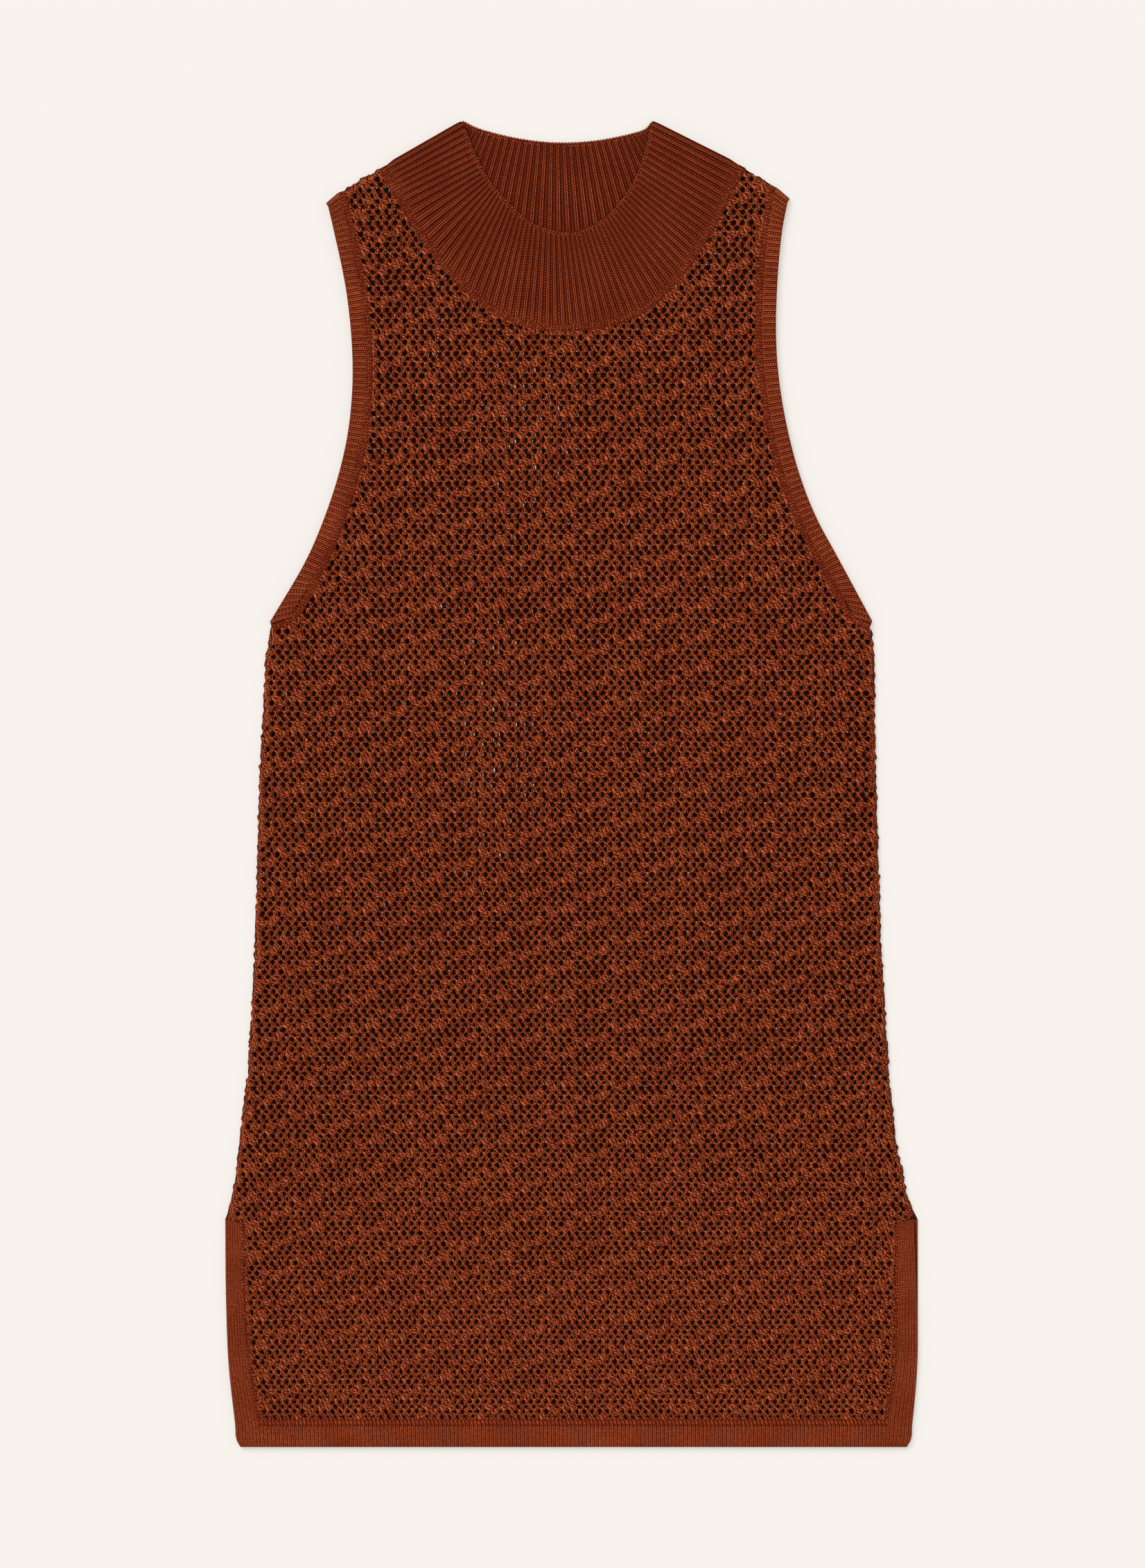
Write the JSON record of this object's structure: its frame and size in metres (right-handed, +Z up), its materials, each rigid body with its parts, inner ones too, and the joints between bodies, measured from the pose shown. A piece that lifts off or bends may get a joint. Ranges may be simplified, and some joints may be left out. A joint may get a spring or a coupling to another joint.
{
  "type": "knit top",
  "caption": "Sleeveless longline top in openwork knit with a wide ribbed stand collar, narrow ribbed armholes and banded side vents, lying flat with its front up.",
  "frame": {"origin": "middle of the flat-laid garment's outline, on the surface that it lies on", "axes": "+Y from the hem towards the collar, +Z up out of the garment's front, +X towards the left side of the person who wears it"},
  "size_m": [0.407, 0.7791, 0.0053],
  "materials": {
    "openwork_knit": "viscose and cotton crepe yarn, rust brown, with a slight satin sheen",
    "rib_knit": "the same yarn in one by one rib",
    "plain_knit": "the same yarn in plain stitch"
  },
  "bodies": {
    "root": {"front_panel": "openwork_knit", "back_panel": "openwork_knit", "neckband": "rib_knit", "armhole_band_left": "rib_knit", "armhole_band_right": "rib_knit", "vent_band_front_left": "plain_knit", "vent_band_front_right": "plain_knit", "vent_band_back_left": "plain_knit", "vent_band_back_right": "plain_knit", "hem_band_front": "plain_knit", "hem_band_back": "plain_knit"}
  },
  "joints": []
}
